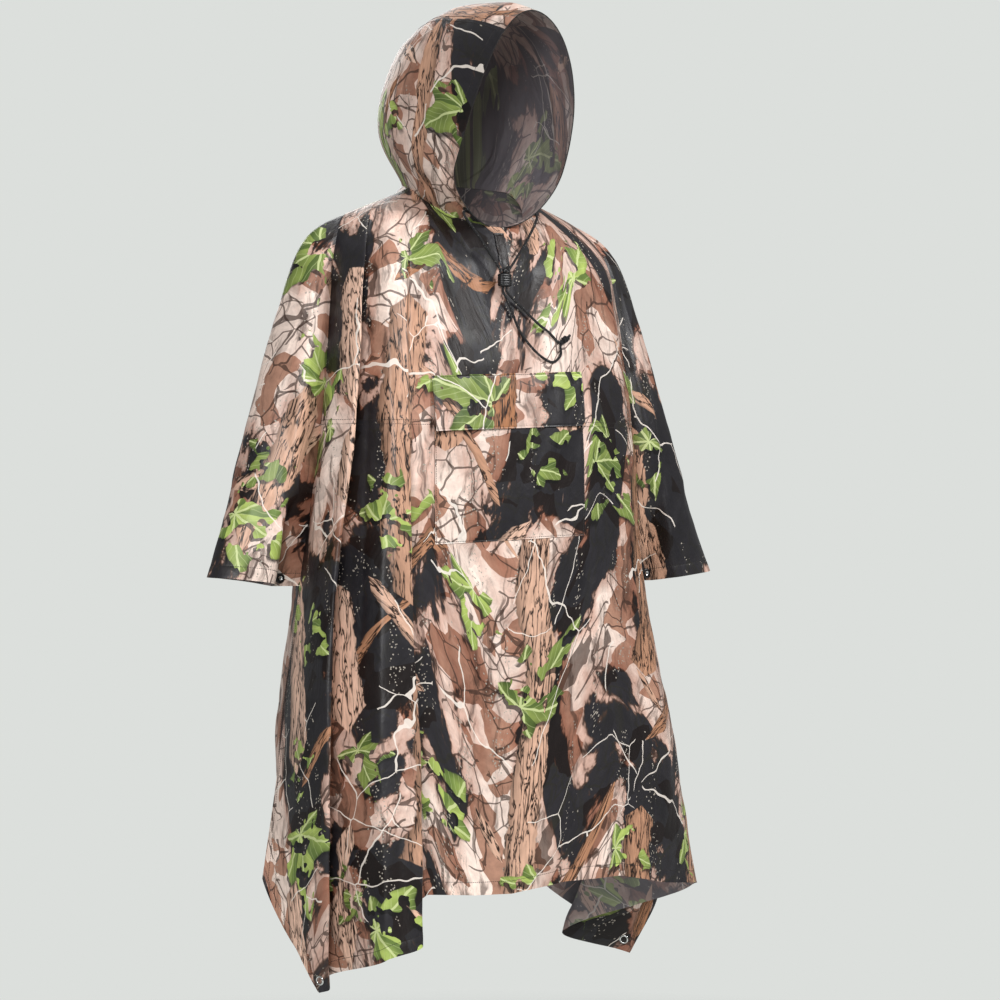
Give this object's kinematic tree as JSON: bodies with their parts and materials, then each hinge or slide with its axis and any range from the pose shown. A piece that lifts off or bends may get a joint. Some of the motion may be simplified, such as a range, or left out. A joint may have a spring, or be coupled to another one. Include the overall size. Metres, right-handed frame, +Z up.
{
  "type": "rain poncho",
  "caption": "Hooded rain poncho in printed coated cloth, hanging as worn, with bell sleeves, cuff snaps, flapped front pocket, drawcord with cord lock, and hanging hem corners with grommets.",
  "frame": {"origin": "centre of the neck at shoulder height, where the wearer's shoulders hold the poncho", "axes": "+Z up, -Y is the front, -X is the wearer's right"},
  "size_m": [0.8534, 0.3969, 1.4509],
  "materials": {
    "print": "thin coated polyester, smooth with a low gloss, printed with leaves, bark and twigs",
    "black_plastic": "moulded, satin",
    "black_cord": "braided cord with light flecks",
    "steel": "bright nickel plate"
  },
  "bodies": {
    "root": {"front_upper": "print", "front_lower": "print", "back": "print", "sleeve_right": "print", "sleeve_left": "print", "hood_left": "print", "hood_crown": "print", "hood_right": "print", "neck_placket": "print", "pocket": "print", "pocket_flap": "print", "cuff_snap_right": "black_plastic", "cuff_snap_left": "black_plastic", "grommet_front_right": "steel", "grommet_front_left": "steel", "grommet_back_left": "steel", "grommet_back_right": "steel", "cord_eyelet_right": "black_plastic", "cord_eyelet_left": "black_plastic", "cord_right": "black_cord", "cord_left": "black_cord", "cord_lock_body": "black_plastic", "cord_lock_button": "black_plastic", "cord_free_end_1": "black_cord", "cord_free_end_2": "black_cord", "cord_knot": "black_cord"}
  },
  "joints": []
}
